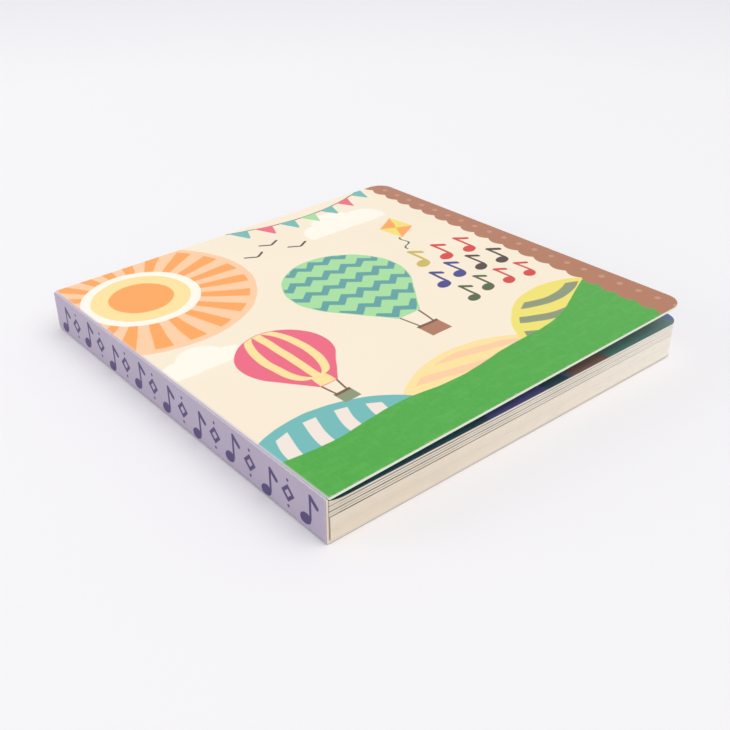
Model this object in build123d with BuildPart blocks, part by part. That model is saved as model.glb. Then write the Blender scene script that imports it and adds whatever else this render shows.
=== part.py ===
from build123d import *
import math
import os

os.makedirs("parts", exist_ok=True)

# A square board book with a sound module in the thick block behind its pages, in millimetres.
# X runs from the spine to the fore edge, Y from the foot of the pages to their head, Z up.
# The origin lies on the table under the middle of the book, which rests on its back cover.

# Book
book_width = 180.0
book_height = 180.0
corner_radius = 7.5
wrap_board = 1.0
cover_board = 1.1
core_thickness = 8.55
cover_angle = 1.78

# Folds of the cover
fold_radius = 1.4
inner_fold_radius = 0.4
crease_inset = 0.45
crease_round = 0.35
crease_gap = 0.12
crease_depth = 0.7
cover_end_slant = 0.95
spine_corner = 1.2

# Pages
leaf_count = 5
leaf_pitch = 1.02
panel_sheet = 0.3
open_slit = 0.17
tight_slit = 0.09
binding_width = 4.0
hinge_room = 1.25
endpaper_rise = 1.1
endpaper_reach = 7.0
page_spine_gap = 0.3
core_spine_gap = 0.7

# Sound module in the block
module_width = 44.0
module_length = 132.0
module_corner = 3.0
module_wall = 1.2
module_floor = 1.2
edge_margin = 10.0
module_y = 0.0
pocket_clearance = 0.3
lid_thickness = 1.0
lid_below_pages = 0.2

# Push buttons
button_count = 6
button_pitch = 20.0
button_radius = 3.8
button_clearance = 0.2
cap_chamfer = 0.35
flange_radius = 4.6
flange_thickness = 0.8
foot_radius = 1.8
button_travel = 0.7
button_below_pages = 0.1
part_clearance = 0.05

# Circuit board and what it carries
circuit_thickness = 1.0
circuit_underside = 4.9
circuit_strip_width = 10.4
circuit_strip_length = 115.0
circuit_tab_from_boss = 3.15
circuit_tab_from_speaker = 6.0
circuit_tab_reach = 22.0
mat_thickness = 0.5
mat_ring_height = 0.3
mat_ring_radius = 3.6
mat_hole_radius = 2.3
chip_radius = 3.6
chip_height = 1.4
chip_from_tab_end = 10.0

# On-off switch
switch_from_tab_start = 11.0
switch_length = 8.6
switch_width = 3.8
switch_height = 2.55
knob_length = 2.0
knob_width = 1.8
knob_travel = 2.0
knob_clearance = 0.3
knob_depth_in_switch = 1.1
knob_recess = 0.3
knob_groove = 0.15
window_length = 13.0
window_width = 7.0

# Button cells and their compartment
cell_count = 3
cell_radius = 5.8
cell_height = 5.4
cell_rim_radius = 5.1
cell_rim_height = 0.45
cell_spacing = 1.8
cell_clearance = 0.3
bay_wall = 1.0
bay_corner = 1.2
bay_end_gap = 1.15
bay_slack = 0.3
partition = 0.8
contact_strip = 0.3
contact_width = 4.0
contact_bend = 0.6
contact_leg = 4.6
contact_gap = 0.1
contact_tongue = 2.6
contact_tail = 2.0

# Battery door
door_side_overlap = 1.9
door_overlap = 1.2
door_screw_inset = 5.0
door_thickness = 0.8
door_recess = 0.15
door_corner = 1.5
door_clearance = 0.3
door_pad_radius = 4.0
door_boss_radius = 3.0
door_boss_height = 0.85
door_rib_length = 2.2
door_rib_width = 0.8
door_rib_height = 2.6
door_rib_gap = 0.15

# Speaker
speaker_radius = 14.0
speaker_end_gap = 4.8
speaker_flange = 1.8
speaker_flange_thickness = 1.0
speaker_basket_radius = 8.0
speaker_basket_height = 3.2
speaker_sheet = 0.6
magnet_radius = 6.8
magnet_height = 2.2
magnet_chamfer = 0.35
basket_windows = 4
window_ring_width = 2.2
window_arc = 50.0
cone_sheet = 0.35
cone_throat_radius = 4.0
cone_height = 1.9
cap_rise = 0.9
seat_wall = 1.0
seat_height = 2.4
grille_hole_radius = 1.1
grille_ring_step = 4.0
grille_rings = 2

# Screws
screw_radius = 0.95
screw_hole_clearance = 0.05
screw_head_radius = 1.8
screw_head_height = 0.75
boss_radius = 2.2
boss_inset = 2.4
circuit_screw_head = 0.9
screw_slot_width = 0.5
screw_slot_depth = 0.35

# Wires
wire_radius = 0.45
bend_share = 0.45

# Levels and places that follow from the sizes above
spine_x = -book_width / 2
fore_x = book_width / 2
spine_inner_x = spine_x + wrap_board
hinge_x = spine_x + crease_inset
core_top = wrap_board + core_thickness
page_stack = panel_sheet + leaf_count * leaf_pitch
page_top = core_top + page_stack
spine_top = page_top + hinge_room + cover_board

floor_top = wrap_board + module_floor
lid_top = core_top - lid_below_pages
lid_under = lid_top - lid_thickness
module_x = fore_x - edge_margin - module_width / 2
inner_left = module_x - module_width / 2 + module_wall
inner_right = module_x + module_width / 2 - module_wall
inner_half_length = module_length / 2 - module_wall
speaker_x = inner_left + speaker_radius + seat_wall
speaker_y = module_y + inner_half_length - speaker_end_gap - speaker_radius
button_x = inner_right - flange_radius - 4 * button_clearance
bay_x = speaker_x
switch_x = speaker_x
chip_x = speaker_x
circuit_top = circuit_underside + circuit_thickness

cell_pitch = 2 * cell_radius + cell_spacing
bay_width = 2 * (cell_radius + cell_clearance)
bay_length = (cell_count - 1) * cell_pitch + bay_width + bay_slack
bay_start_y = module_y - inner_half_length + bay_end_gap + bay_wall
bay_end_y = bay_start_y + bay_length
bay_y = (bay_start_y + bay_end_y) / 2
door_width = bay_width + 2 * door_side_overlap
door_top = door_recess + door_thickness
door_screw_y = bay_end_y + door_screw_inset
door_start_y = bay_start_y - bay_wall - door_overlap
door_end_y = door_screw_y + door_boss_radius + door_overlap
door_length = door_end_y - door_start_y
door_y = (door_start_y + door_end_y) / 2
cell_bottom = floor_top - 2 * cell_clearance
cell_ys = [bay_y + (place - (cell_count - 1) / 2) * cell_pitch for place in range(cell_count)]
button_ys = [module_y + (place - (button_count - 1) / 2) * button_pitch for place in range(button_count)]

boss_places = [
    (inner_left + boss_inset, module_y - inner_half_length + boss_inset),
    (inner_left + boss_inset, module_y + inner_half_length - boss_inset),
    (inner_right - boss_inset, module_y - inner_half_length + boss_inset),
    (inner_right - boss_inset, module_y + inner_half_length - boss_inset),
]
circuit_screw_places = [
    (button_x, module_y - 2 * button_pitch),
    (button_x, module_y),
    (button_x, module_y + 2 * button_pitch),
]
circuit_tab_x = button_x - circuit_strip_width / 2 - circuit_tab_reach / 2
circuit_tab_start_y = door_screw_y + boss_radius + circuit_tab_from_boss
circuit_tab_end_y = speaker_y - speaker_radius - seat_wall - circuit_tab_from_speaker
circuit_tab_length = circuit_tab_end_y - circuit_tab_start_y
circuit_tab_y = (circuit_tab_start_y + circuit_tab_end_y) / 2
switch_y = circuit_tab_start_y + switch_from_tab_start
chip_y = circuit_tab_end_y - chip_from_tab_end

screw_hole_radius = screw_radius + screw_hole_clearance
head_hole_radius = screw_head_radius + 2 * screw_hole_clearance

# Spine and back cover: one board, folded round the foot of the spine, with the speaker's holes,
# the window over the switch and the opening for the battery door punched through the back
with BuildPart() as back_cover_and_spine:
    with BuildSketch(Plane.XZ):
        with BuildLine():
            FilletPolyline(
                (spine_x, 0),
                (fore_x, 0),
                (fore_x, wrap_board),
                (spine_inner_x, wrap_board),
                (spine_inner_x, spine_top - crease_depth),
                (hinge_x, spine_top),
                (spine_x, spine_top),
                radius=[fold_radius, 0, 0, inner_fold_radius, 0, 0, crease_round],
                close=True,
            )
        make_face()
    extrude(amount=book_height / 2, both=True)
    fillet(
        back_cover_and_spine.edges().filter_by(Axis.Z).group_by(Axis.X)[-1],
        corner_radius,
    )
    # The corners at the two ends of the spine's top edge are worn round
    with BuildSketch(Plane.YZ.offset(spine_x)):
        with Locations((0, spine_top / 2)):
            Rectangle(book_height, spine_top)
            RectangleRounded(book_height, spine_top, spine_corner, mode=Mode.SUBTRACT)
        with Locations((0, (spine_top - spine_corner) / 2)):
            Rectangle(book_height, spine_top - spine_corner, mode=Mode.SUBTRACT)
    extrude(amount=wrap_board, mode=Mode.SUBTRACT)
    # Speaker holes in rings of six and twelve round one in the middle, the switch's window and
    # the opening for the battery door
    with BuildSketch(Plane.XY):
        with Locations((speaker_x, speaker_y)):
            Circle(grille_hole_radius)
            for ring in range(1, grille_rings + 1):
                with PolarLocations(ring * grille_ring_step, 6 * ring):
                    Circle(grille_hole_radius)
        with Locations((bay_x, door_y)):
            RectangleRounded(
                door_width + 2 * door_clearance,
                door_length + 2 * door_clearance,
                door_corner + door_clearance,
            )
        with Locations((switch_x, switch_y)):
            RectangleRounded(window_width, window_length, window_width / 2 - part_clearance)
    extrude(amount=wrap_board, mode=Mode.SUBTRACT)
back_cover_and_spine.part.label = "back_cover_and_spine"
export_step(back_cover_and_spine.part, "parts/back_cover_and_spine.step")

# Front cover, a board that turns on the crease along the top of the spine and stands a little open
cover_turn = math.radians(cover_angle)
cover_along = (math.cos(cover_turn), 0, math.sin(cover_turn))
cover_normal = (-math.sin(cover_turn), 0, math.cos(cover_turn))
cover_length = fore_x - hinge_x
with BuildPart() as front_cover:
    with BuildSketch(Plane(origin=(hinge_x, 0, spine_top), x_dir=cover_along, z_dir=(0, -1, 0))):
        with BuildLine():
            Polyline(
                (crease_gap, 0),
                (cover_length, 0),
                (cover_length, -cover_board),
                (crease_gap + cover_end_slant, -cover_board),
                close=True,
            )
        make_face()
    extrude(amount=book_height / 2, both=True)
    cover_edges = front_cover.edges().filter_by(Axis((0, 0, 0), cover_normal))
    fillet(cover_edges.group_by(Axis.X)[-1], corner_radius)
front_cover.part.label = "front_cover"
export_step(front_cover.part, "parts/front_cover.step")

# Page block: the leaves as one solid, joined along the binding and parted by fine slits that run
# in from three sides; at the spine the endpaper rises from the first leaf towards the cover
page_spine_x = spine_inner_x + page_spine_gap
with BuildPart() as page_block:
    with BuildSketch(Plane.XZ):
        with BuildLine():
            Polyline(
                (page_spine_x + endpaper_reach, page_top),
                (fore_x, page_top),
                (fore_x, core_top),
                (page_spine_x, core_top),
                (page_spine_x, page_top + endpaper_rise),
            )
            TangentArc(
                (page_spine_x + endpaper_reach, page_top),
                (page_spine_x, page_top + endpaper_rise),
                tangent=(-1, 0),
            )
        make_face()
    extrude(amount=book_height / 2, both=True)
    fillet(page_block.edges().filter_by(Axis.Z).group_by(Axis.X)[-1], corner_radius)
    for leaf in range(leaf_count):
        slit = open_slit if leaf % 2 == 0 else tight_slit
        slit_z = core_top + panel_sheet + leaf * leaf_pitch
        slit_start = page_spine_x + binding_width
        with BuildSketch(Plane.XY.offset(slit_z)):
            with Locations(((slit_start + fore_x) / 2, 0)):
                Rectangle(fore_x - slit_start, book_height)
        extrude(amount=slit, mode=Mode.SUBTRACT)
page_block.part.label = "page_block"
export_step(page_block.part, "parts/page_block.step")

# Core block: thick board behind the pages, die-cut through for the sound module
core_spine_x = spine_inner_x + core_spine_gap
core_width = fore_x - core_spine_x
with BuildPart() as core_block:
    with BuildSketch(Plane.XY.offset(wrap_board)):
        with Locations(((core_spine_x + fore_x) / 2, 0)):
            Rectangle(core_width, book_height)
    extrude(amount=core_thickness)
    fillet(core_block.edges().filter_by(Axis.Z).group_by(Axis.X)[-1], corner_radius)
    with BuildSketch(Plane.XY.offset(wrap_board)):
        with Locations((module_x, module_y)):
            RectangleRounded(
                module_width + 2 * pocket_clearance,
                module_length + 2 * pocket_clearance,
                module_corner + pocket_clearance,
            )
    extrude(amount=core_thickness, mode=Mode.SUBTRACT)
core_block.part.label = "core_block"
export_step(core_block.part, "parts/core_block.step")

# Module housing: an open tray with a speaker seat, a battery bay, screw bosses and board posts
with BuildPart() as module_housing:
    with BuildSketch(Plane.XY.offset(wrap_board)):
        with Locations((module_x, module_y)):
            RectangleRounded(module_width, module_length, module_corner)
    extrude(amount=lid_under - wrap_board)
    with BuildSketch(Plane.XY.offset(floor_top)):
        with Locations((module_x, module_y)):
            RectangleRounded(
                module_width - 2 * module_wall,
                module_length - 2 * module_wall,
                module_corner - module_wall,
            )
    extrude(amount=lid_under - floor_top, mode=Mode.SUBTRACT)
    # Bosses for the lid's screws and the battery door's screw
    with BuildSketch(Plane.XY.offset(floor_top)):
        with Locations(*boss_places):
            Circle(boss_radius)
    extrude(amount=lid_under - floor_top)
    with BuildSketch(Plane.XY.offset(floor_top)):
        with Locations((bay_x, door_screw_y)):
            Circle(boss_radius)
    extrude(amount=circuit_top - floor_top)
    # Posts under the circuit board
    with BuildSketch(Plane.XY.offset(floor_top)):
        with Locations(*circuit_screw_places):
            Circle(boss_radius)
    extrude(amount=circuit_underside - floor_top)
    # Ring that holds the speaker's flange
    with BuildSketch(Plane.XY.offset(floor_top)):
        with Locations((speaker_x, speaker_y)):
            Circle(speaker_radius + seat_wall)
            Circle(speaker_radius + 2 * part_clearance, mode=Mode.SUBTRACT)
    extrude(amount=seat_height)
    # Battery bay with a partition between each two cells
    with BuildSketch(Plane.XY.offset(floor_top)):
        with Locations((bay_x, bay_y)):
            RectangleRounded(bay_width + 2 * bay_wall, bay_length + 2 * bay_wall, bay_corner)
            Rectangle(bay_width, bay_length, mode=Mode.SUBTRACT)
    extrude(amount=lid_under - floor_top - contact_bend - contact_strip)
    with BuildSketch(Plane.XY.offset(floor_top)):
        for cell_y in cell_ys[:-1]:
            with Locations((bay_x, cell_y + cell_pitch / 2)):
                Rectangle(bay_width, partition)
    extrude(amount=lid_under - floor_top - contact_bend - contact_strip)
    # Openings in the floor for the cells, the sound and the switch's knob
    with BuildSketch(Plane.XY.offset(wrap_board)):
        with Locations((bay_x, bay_y)):
            Rectangle(bay_width, bay_length)
        with Locations((speaker_x, speaker_y)):
            Circle(speaker_radius - speaker_flange)
        with Locations((switch_x, switch_y)):
            Rectangle(
                knob_width + 2 * knob_clearance,
                knob_length + knob_travel + 2 * knob_clearance,
            )
    extrude(amount=module_floor, mode=Mode.SUBTRACT)
    # Screw holes, and the pocket in the floor for the thick part of the door round its screw
    with BuildSketch(Plane.XY.offset(lid_under)):
        with Locations(*boss_places):
            Circle(screw_hole_radius)
    extrude(amount=floor_top - lid_under, mode=Mode.SUBTRACT)
    with BuildSketch(Plane.XY.offset(circuit_underside)):
        with Locations(*circuit_screw_places):
            Circle(screw_hole_radius)
    extrude(amount=floor_top - circuit_underside, mode=Mode.SUBTRACT)
    with BuildSketch(Plane.XY.offset(wrap_board)):
        with Locations((bay_x, door_screw_y)):
            Circle(screw_hole_radius)
    extrude(amount=circuit_underside - wrap_board, mode=Mode.SUBTRACT)
    with BuildSketch(Plane.XY.offset(wrap_board)):
        with Locations((bay_x, door_screw_y)):
            Circle(door_boss_radius + door_clearance)
    extrude(amount=door_boss_height + part_clearance, mode=Mode.SUBTRACT)
module_housing.part.label = "module_housing"
export_step(module_housing.part, "parts/module_housing.step")

# Module lid: a plate over the tray with a hole for each button and four countersunk screw holes
with BuildPart() as module_lid:
    with BuildSketch(Plane.XY.offset(lid_under)):
        with Locations((module_x, module_y)):
            RectangleRounded(module_width, module_length, module_corner)
        with Locations(*[(button_x, button_y) for button_y in button_ys]):
            Circle(button_radius + button_clearance, mode=Mode.SUBTRACT)
    extrude(amount=lid_thickness)
    with Locations(*[(x, y, lid_top) for x, y in boss_places]):
        CounterSinkHole(
            screw_hole_radius,
            head_hole_radius,
            depth=lid_thickness,
            counter_sink_angle=2 * math.degrees(
                math.atan((head_hole_radius - screw_hole_radius) / screw_head_height)
            ),
        )
module_lid.part.label = "module_lid"
export_step(module_lid.part, "parts/module_lid.step")

# Lid screws: four alike, countersunk, with a straight slot
with BuildPart() as lid_screws:
    for boss_x, boss_y in boss_places:
        with BuildSketch(Plane(origin=(boss_x, boss_y, lid_top), x_dir=(1, 0, 0), z_dir=(0, -1, 0))):
            with BuildLine():
                Polyline(
                    (0, 0),
                    (screw_head_radius, 0),
                    (screw_radius, -screw_head_height),
                    (screw_radius, circuit_top - lid_top),
                    (0, circuit_top - lid_top - screw_radius),
                    close=True,
                )
            make_face()
        revolve(axis=Axis((boss_x, boss_y, 0), (0, 0, 1)))
        with BuildSketch(Plane.XY.offset(lid_top)):
            with Locations((boss_x, boss_y)):
                Rectangle(2 * screw_head_radius, screw_slot_width)
        extrude(amount=-screw_slot_depth, mode=Mode.SUBTRACT)
lid_screws.part.label = "lid_screws"
export_step(lid_screws.part, "parts/lid_screws.step")

# Circuit board: a strip under the buttons with a tab for the chip and the switch
with BuildPart() as circuit_board:
    with BuildSketch(Plane.XY.offset(circuit_underside)) as board_outline:
        with Locations((button_x, module_y)):
            Rectangle(circuit_strip_width, circuit_strip_length)
        with Locations((circuit_tab_x, circuit_tab_y)):
            Rectangle(circuit_tab_reach, circuit_tab_length)
        with Locations(*circuit_screw_places):
            Circle(screw_hole_radius, mode=Mode.SUBTRACT)
    extrude(amount=circuit_thickness)
circuit_board.part.label = "circuit_board"
export_step(circuit_board.part, "parts/circuit_board.step")

# Circuit screws: three alike, pan heads on the board
with BuildPart() as circuit_screws:
    for screw_x, screw_y in circuit_screw_places:
        with BuildSketch(Plane.XY.offset(circuit_top)):
            with Locations((screw_x, screw_y)):
                Circle(screw_head_radius)
        extrude(amount=circuit_screw_head)
        with BuildSketch(Plane.XY.offset(circuit_top)):
            with Locations((screw_x, screw_y)):
                Circle(screw_radius)
        extrude(amount=floor_top + screw_radius - circuit_top)
        with BuildSketch(Plane.XY.offset(circuit_top + circuit_screw_head)):
            with Locations((screw_x, screw_y)):
                Rectangle(2 * screw_head_radius, screw_slot_width)
        extrude(amount=-screw_slot_depth, mode=Mode.SUBTRACT)
circuit_screws.part.label = "circuit_screws"
export_step(circuit_screws.part, "parts/circuit_screws.step")

# Chip: a poured drop of resin on the board
with BuildPart() as sound_chip:
    with BuildSketch(Plane(origin=(chip_x, chip_y, circuit_top), x_dir=(1, 0, 0), z_dir=(0, -1, 0))):
        with BuildLine():
            TangentArc((0, chip_height), (chip_radius, 0), tangent=(1, 0))
            Polyline((chip_radius, 0), (0, 0), (0, chip_height))
        make_face()
    revolve(axis=Axis((chip_x, chip_y, 0), (0, 0, 1)))
sound_chip.part.label = "sound_chip"
export_step(sound_chip.part, "parts/sound_chip.step")

# Rubber mat on the board's strip, with a ring under each button, drawn as it is when pressed
with BuildPart() as key_mat:
    with BuildSketch(Plane.XY.offset(circuit_top)):
        with Locations((button_x, module_y)):
            Rectangle(circuit_strip_width - screw_radius, circuit_strip_length - screw_radius)
    extrude(amount=mat_thickness)
    with BuildSketch(Plane.XY.offset(circuit_top + mat_thickness)):
        with Locations(*[(button_x, button_y) for button_y in button_ys]):
            Circle(mat_ring_radius)
    extrude(amount=mat_ring_height)
    with BuildSketch(Plane.XY.offset(circuit_top)):
        with Locations(*[(button_x, button_y) for button_y in button_ys]):
            Circle(mat_hole_radius)
        with Locations(*circuit_screw_places):
            Circle(screw_head_radius + button_clearance)
    extrude(amount=mat_thickness + mat_ring_height, mode=Mode.SUBTRACT)
key_mat.part.label = "key_mat"
export_step(key_mat.part, "parts/key_mat.step")

# Push buttons: a cap through the lid, a flange that stops under it, and a foot above the board
flange_top = lid_under - part_clearance
flange_bottom = flange_top - flange_thickness
foot_bottom = circuit_top + part_clearance + button_travel
button_top = core_top - button_below_pages
for number, button_y in enumerate(button_ys, start=1):
    with BuildPart() as button:
        with BuildSketch(Plane.XY.offset(flange_bottom)):
            with Locations((button_x, button_y)):
                Circle(flange_radius)
        extrude(amount=flange_thickness)
        with BuildSketch(Plane.XY.offset(flange_bottom)):
            with Locations((button_x, button_y)):
                Circle(button_radius)
        extrude(amount=button_top - flange_bottom)
        with BuildSketch(Plane.XY.offset(foot_bottom)):
            with Locations((button_x, button_y)):
                Circle(foot_radius)
        extrude(amount=flange_bottom - foot_bottom)
        chamfer(button.faces().sort_by(Axis.Z)[-1].edges(), cap_chamfer)
    button.part.label = f"button_{number}"
    export_step(button.part, f"parts/button_{number}.step")

# Switch body, hung under the board's tab, with the slot that its knob runs in
switch_bottom = circuit_underside - switch_height
with BuildPart() as switch_body:
    with BuildSketch(Plane.XY.offset(switch_bottom)):
        with Locations((switch_x, switch_y)):
            Rectangle(switch_width, switch_length)
    extrude(amount=switch_height)
    with BuildSketch(Plane.XY.offset(switch_bottom)):
        with Locations((switch_x, switch_y)):
            Rectangle(
                knob_width + 2 * part_clearance,
                knob_length + knob_travel + 2 * part_clearance,
            )
    extrude(amount=knob_depth_in_switch + part_clearance, mode=Mode.SUBTRACT)
switch_body.part.label = "switch_body"
export_step(switch_body.part, "parts/switch_body.step")

# Switch knob, at the off end of its travel, with three grip grooves across its tip
knob_y = switch_y - knob_travel / 2
with BuildPart() as switch_knob:
    with BuildSketch(Plane.XY.offset(knob_recess)):
        with Locations((switch_x, knob_y)):
            Rectangle(knob_width, knob_length)
    extrude(amount=switch_bottom + knob_depth_in_switch - knob_recess)
    with BuildSketch(Plane.YZ.offset(switch_x)):
        for groove in (-1, 0, 1):
            with Locations((knob_y + groove * knob_length / 4, knob_recess)):
                Circle(knob_groove)
    extrude(amount=knob_width / 2, both=True, mode=Mode.SUBTRACT)
switch_knob.part.label = "switch_knob"
export_step(switch_knob.part, "parts/switch_knob.step")

# Button cells: sealed cans with a narrower cap towards the lid
for number, cell_y in enumerate(cell_ys, start=1):
    with BuildPart() as cell:
        with BuildSketch(Plane.XY.offset(cell_bottom)):
            with Locations((bay_x, cell_y)):
                Circle(cell_radius)
        extrude(amount=cell_height - cell_rim_height)
        with BuildSketch(Plane.XY.offset(cell_bottom + cell_height - cell_rim_height)):
            with Locations((bay_x, cell_y)):
                Circle(cell_rim_radius)
        extrude(amount=cell_rim_height)
    cell.part.label = f"button_cell_{number}"
    export_step(cell.part, f"parts/button_cell_{number}.step")

# Contact strips, bent from sheet: each has a leg beside one cell's rim, or none, a run under the
# lid, and a tongue on the next cell's cap, or a tail on the circuit board
strip_z = lid_under - contact_strip / 2
tongue_z = cell_bottom + cell_height + contact_gap + contact_strip / 2
leg_z = strip_z - contact_leg


def leg_y(cell_y):
    """Middle of a leg that stands beside the rim of the cell at cell_y."""
    return cell_y + cell_radius + contact_gap + contact_strip / 2


for place, cell_y in enumerate(cell_ys[:-1]):
    next_y = cell_ys[place + 1]
    with BuildPart() as bridge:
        with BuildSketch(Plane.YZ.offset(bay_x)):
            with BuildLine():
                FilletPolyline(
                    (leg_y(cell_y), leg_z),
                    (leg_y(cell_y), strip_z),
                    (next_y + contact_tongue, strip_z),
                    (next_y - contact_tongue, tongue_z),
                    radius=[contact_bend, 0],
                )
            trace(line_width=contact_strip)
        extrude(amount=contact_width / 2, both=True)
    bridge.part.label = f"contact_bridge_{place + 1}"
    export_step(bridge.part, f"parts/contact_bridge_{place + 1}.step")

solder_y = bay_start_y - bay_wall - bay_end_gap / 2
with BuildPart() as contact_negative:
    with BuildSketch(Plane.YZ.offset(bay_x)):
        with BuildLine():
            FilletPolyline(
                (solder_y, strip_z - contact_tail),
                (solder_y, strip_z),
                (cell_ys[0], strip_z),
                (cell_ys[0] + contact_tongue, tongue_z),
                radius=[contact_bend, 0],
            )
        trace(line_width=contact_strip)
    extrude(amount=contact_width / 2, both=True)
contact_negative.part.label = "contact_negative"
export_step(contact_negative.part, "parts/contact_negative.step")

tail_y = circuit_tab_start_y + contact_bend + contact_strip
with BuildPart() as contact_positive:
    with BuildSketch(Plane.YZ.offset(bay_x)):
        with BuildLine():
            FilletPolyline(
                (leg_y(cell_ys[-1]), leg_z),
                (leg_y(cell_ys[-1]), strip_z),
                (tail_y, strip_z),
                (tail_y, circuit_top + part_clearance),
                radius=contact_bend,
            )
        trace(line_width=contact_strip)
    extrude(amount=contact_width / 2, both=True)
contact_positive.part.label = "contact_positive"
export_step(contact_positive.part, "parts/contact_positive.step")

# Battery door: a plate flush in the back cover, with a pad under each cell, two ribs that stand in
# the corners of the bay and a thick part round the screw
with BuildPart() as battery_door:
    with BuildSketch(Plane.XY.offset(door_recess)):
        with Locations((bay_x, door_y)):
            RectangleRounded(door_width, door_length, door_corner)
    extrude(amount=door_thickness)
    with BuildSketch(Plane.XY.offset(door_top)):
        with Locations(*[(bay_x, cell_y) for cell_y in cell_ys]):
            Circle(door_pad_radius)
    extrude(amount=cell_bottom - part_clearance - door_top)
    with BuildSketch(Plane.XY.offset(door_top)):
        for side in (-1, 1):
            rib_x = bay_x + side * (bay_width - door_rib_length - 2 * door_rib_gap) / 2
            with Locations((rib_x, bay_start_y + door_rib_gap + door_rib_width / 2)):
                Rectangle(door_rib_length, door_rib_width)
    extrude(amount=door_rib_height)
    with BuildSketch(Plane.XY.offset(door_recess)):
        with Locations((bay_x, door_screw_y)):
            Circle(door_boss_radius)
    extrude(amount=wrap_board + door_boss_height - door_recess)
    with BuildSketch(Plane.XY.offset(door_recess)):
        with Locations((bay_x, door_screw_y)):
            Circle(screw_hole_radius)
    extrude(amount=wrap_board + door_boss_height - door_recess, mode=Mode.SUBTRACT)
    with BuildSketch(Plane.XY.offset(door_recess)):
        with Locations((bay_x, door_screw_y)):
            Circle(head_hole_radius)
    extrude(amount=screw_head_height + part_clearance, mode=Mode.SUBTRACT)
battery_door.part.label = "battery_door"
export_step(battery_door.part, "parts/battery_door.step")

# Door screw: a pan head in the door and a shank up into the housing's boss
door_screw_shank = circuit_underside - screw_radius - door_recess - screw_head_height
with BuildPart() as door_screw:
    with BuildSketch(Plane.XY.offset(door_recess)):
        with Locations((bay_x, door_screw_y)):
            Circle(screw_head_radius)
    extrude(amount=screw_head_height)
    with BuildSketch(Plane.XY.offset(door_recess + screw_head_height)):
        with Locations((bay_x, door_screw_y)):
            Circle(screw_radius)
    extrude(amount=door_screw_shank)
    with BuildSketch(Plane.XY.offset(door_recess)):
        with Locations((bay_x, door_screw_y)):
            Rectangle(2 * screw_head_radius, screw_slot_width)
            Rectangle(screw_slot_width, 2 * screw_head_radius)
    extrude(amount=screw_slot_depth, mode=Mode.SUBTRACT)
door_screw.part.label = "door_screw"
export_step(door_screw.part, "parts/door_screw.step")

# Speaker: a pressed basket with its flange on the floor, a magnet behind it and a paper cone
flange_z = floor_top
basket_top = flange_z + speaker_basket_height
speaker_plane = Plane(origin=(speaker_x, speaker_y, 0), x_dir=(1, 0, 0), z_dir=(0, -1, 0))
speaker_axis = Axis((speaker_x, speaker_y, 0), (0, 0, 1))
with BuildPart() as speaker_frame:
    with BuildSketch(speaker_plane):
        with BuildLine():
            Polyline(
                (speaker_radius - speaker_flange, flange_z),
                (speaker_radius, flange_z),
                (speaker_radius, flange_z + speaker_flange_thickness),
                (speaker_radius - speaker_flange, flange_z + speaker_flange_thickness),
                (speaker_basket_radius, basket_top),
                (0, basket_top),
                (0, basket_top - speaker_sheet),
                (speaker_basket_radius - speaker_sheet, basket_top - speaker_sheet),
                (speaker_radius - speaker_flange, flange_z + cone_sheet + 4 * part_clearance),
                close=True,
            )
        make_face()
    revolve(axis=speaker_axis)
    # Windows in the sloping wall let the air out from behind the cone
    window_radius = (speaker_radius - speaker_flange + speaker_basket_radius) / 2
    with BuildSketch(Plane.XY.offset(flange_z)):
        with Locations((speaker_x, speaker_y)):
            with PolarLocations(0, basket_windows, start_angle=45):
                with BuildLine():
                    CenterArc((0, 0), window_radius, -window_arc / 2, window_arc)
                trace(line_width=window_ring_width)
    extrude(amount=speaker_basket_height, mode=Mode.SUBTRACT)
speaker_frame.part.label = "speaker_frame"
export_step(speaker_frame.part, "parts/speaker_frame.step")

with BuildPart() as speaker_magnet:
    with BuildSketch(Plane.XY.offset(basket_top)):
        with Locations((speaker_x, speaker_y)):
            Circle(magnet_radius)
    extrude(amount=magnet_height)
    chamfer(speaker_magnet.faces().sort_by(Axis.Z)[-1].edges(), magnet_chamfer)
speaker_magnet.part.label = "speaker_magnet"
export_step(speaker_magnet.part, "parts/speaker_magnet.step")

cone_radius = speaker_radius - speaker_flange - contact_gap
with BuildPart() as speaker_cone:
    with BuildSketch(speaker_plane):
        with BuildLine():
            Polyline(
                (0, flange_z + cone_height - cap_rise + cone_sheet),
                (cone_throat_radius - cone_sheet, flange_z + cone_height + cone_sheet),
                (cone_throat_radius + cone_sheet, flange_z + cone_height + cone_sheet),
                (cone_radius, flange_z + cone_sheet),
                (cone_radius, flange_z),
                (cone_radius - speaker_flange, flange_z),
                (cone_throat_radius, flange_z + cone_height),
                (0, flange_z + cone_height - cap_rise),
                close=True,
            )
        make_face()
    revolve(axis=speaker_axis)
speaker_cone.part.label = "speaker_cone"
export_step(speaker_cone.part, "parts/speaker_cone.step")

# Wires: each runs straight between bends as wide as its runs allow


def wire_bends(route):
    """Radius for each inner point of a route, from the shorter run beside it and the turn."""
    radii = []
    for before, corner, after in zip(route, route[1:], route[2:]):
        first = Vector(*corner) - Vector(*before)
        second = Vector(*after) - Vector(*corner)
        half_turn = math.radians(first.get_angle(second)) / 2
        radii.append(bend_share * min(first.length, second.length) / math.tan(half_turn))
    return radii


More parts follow.
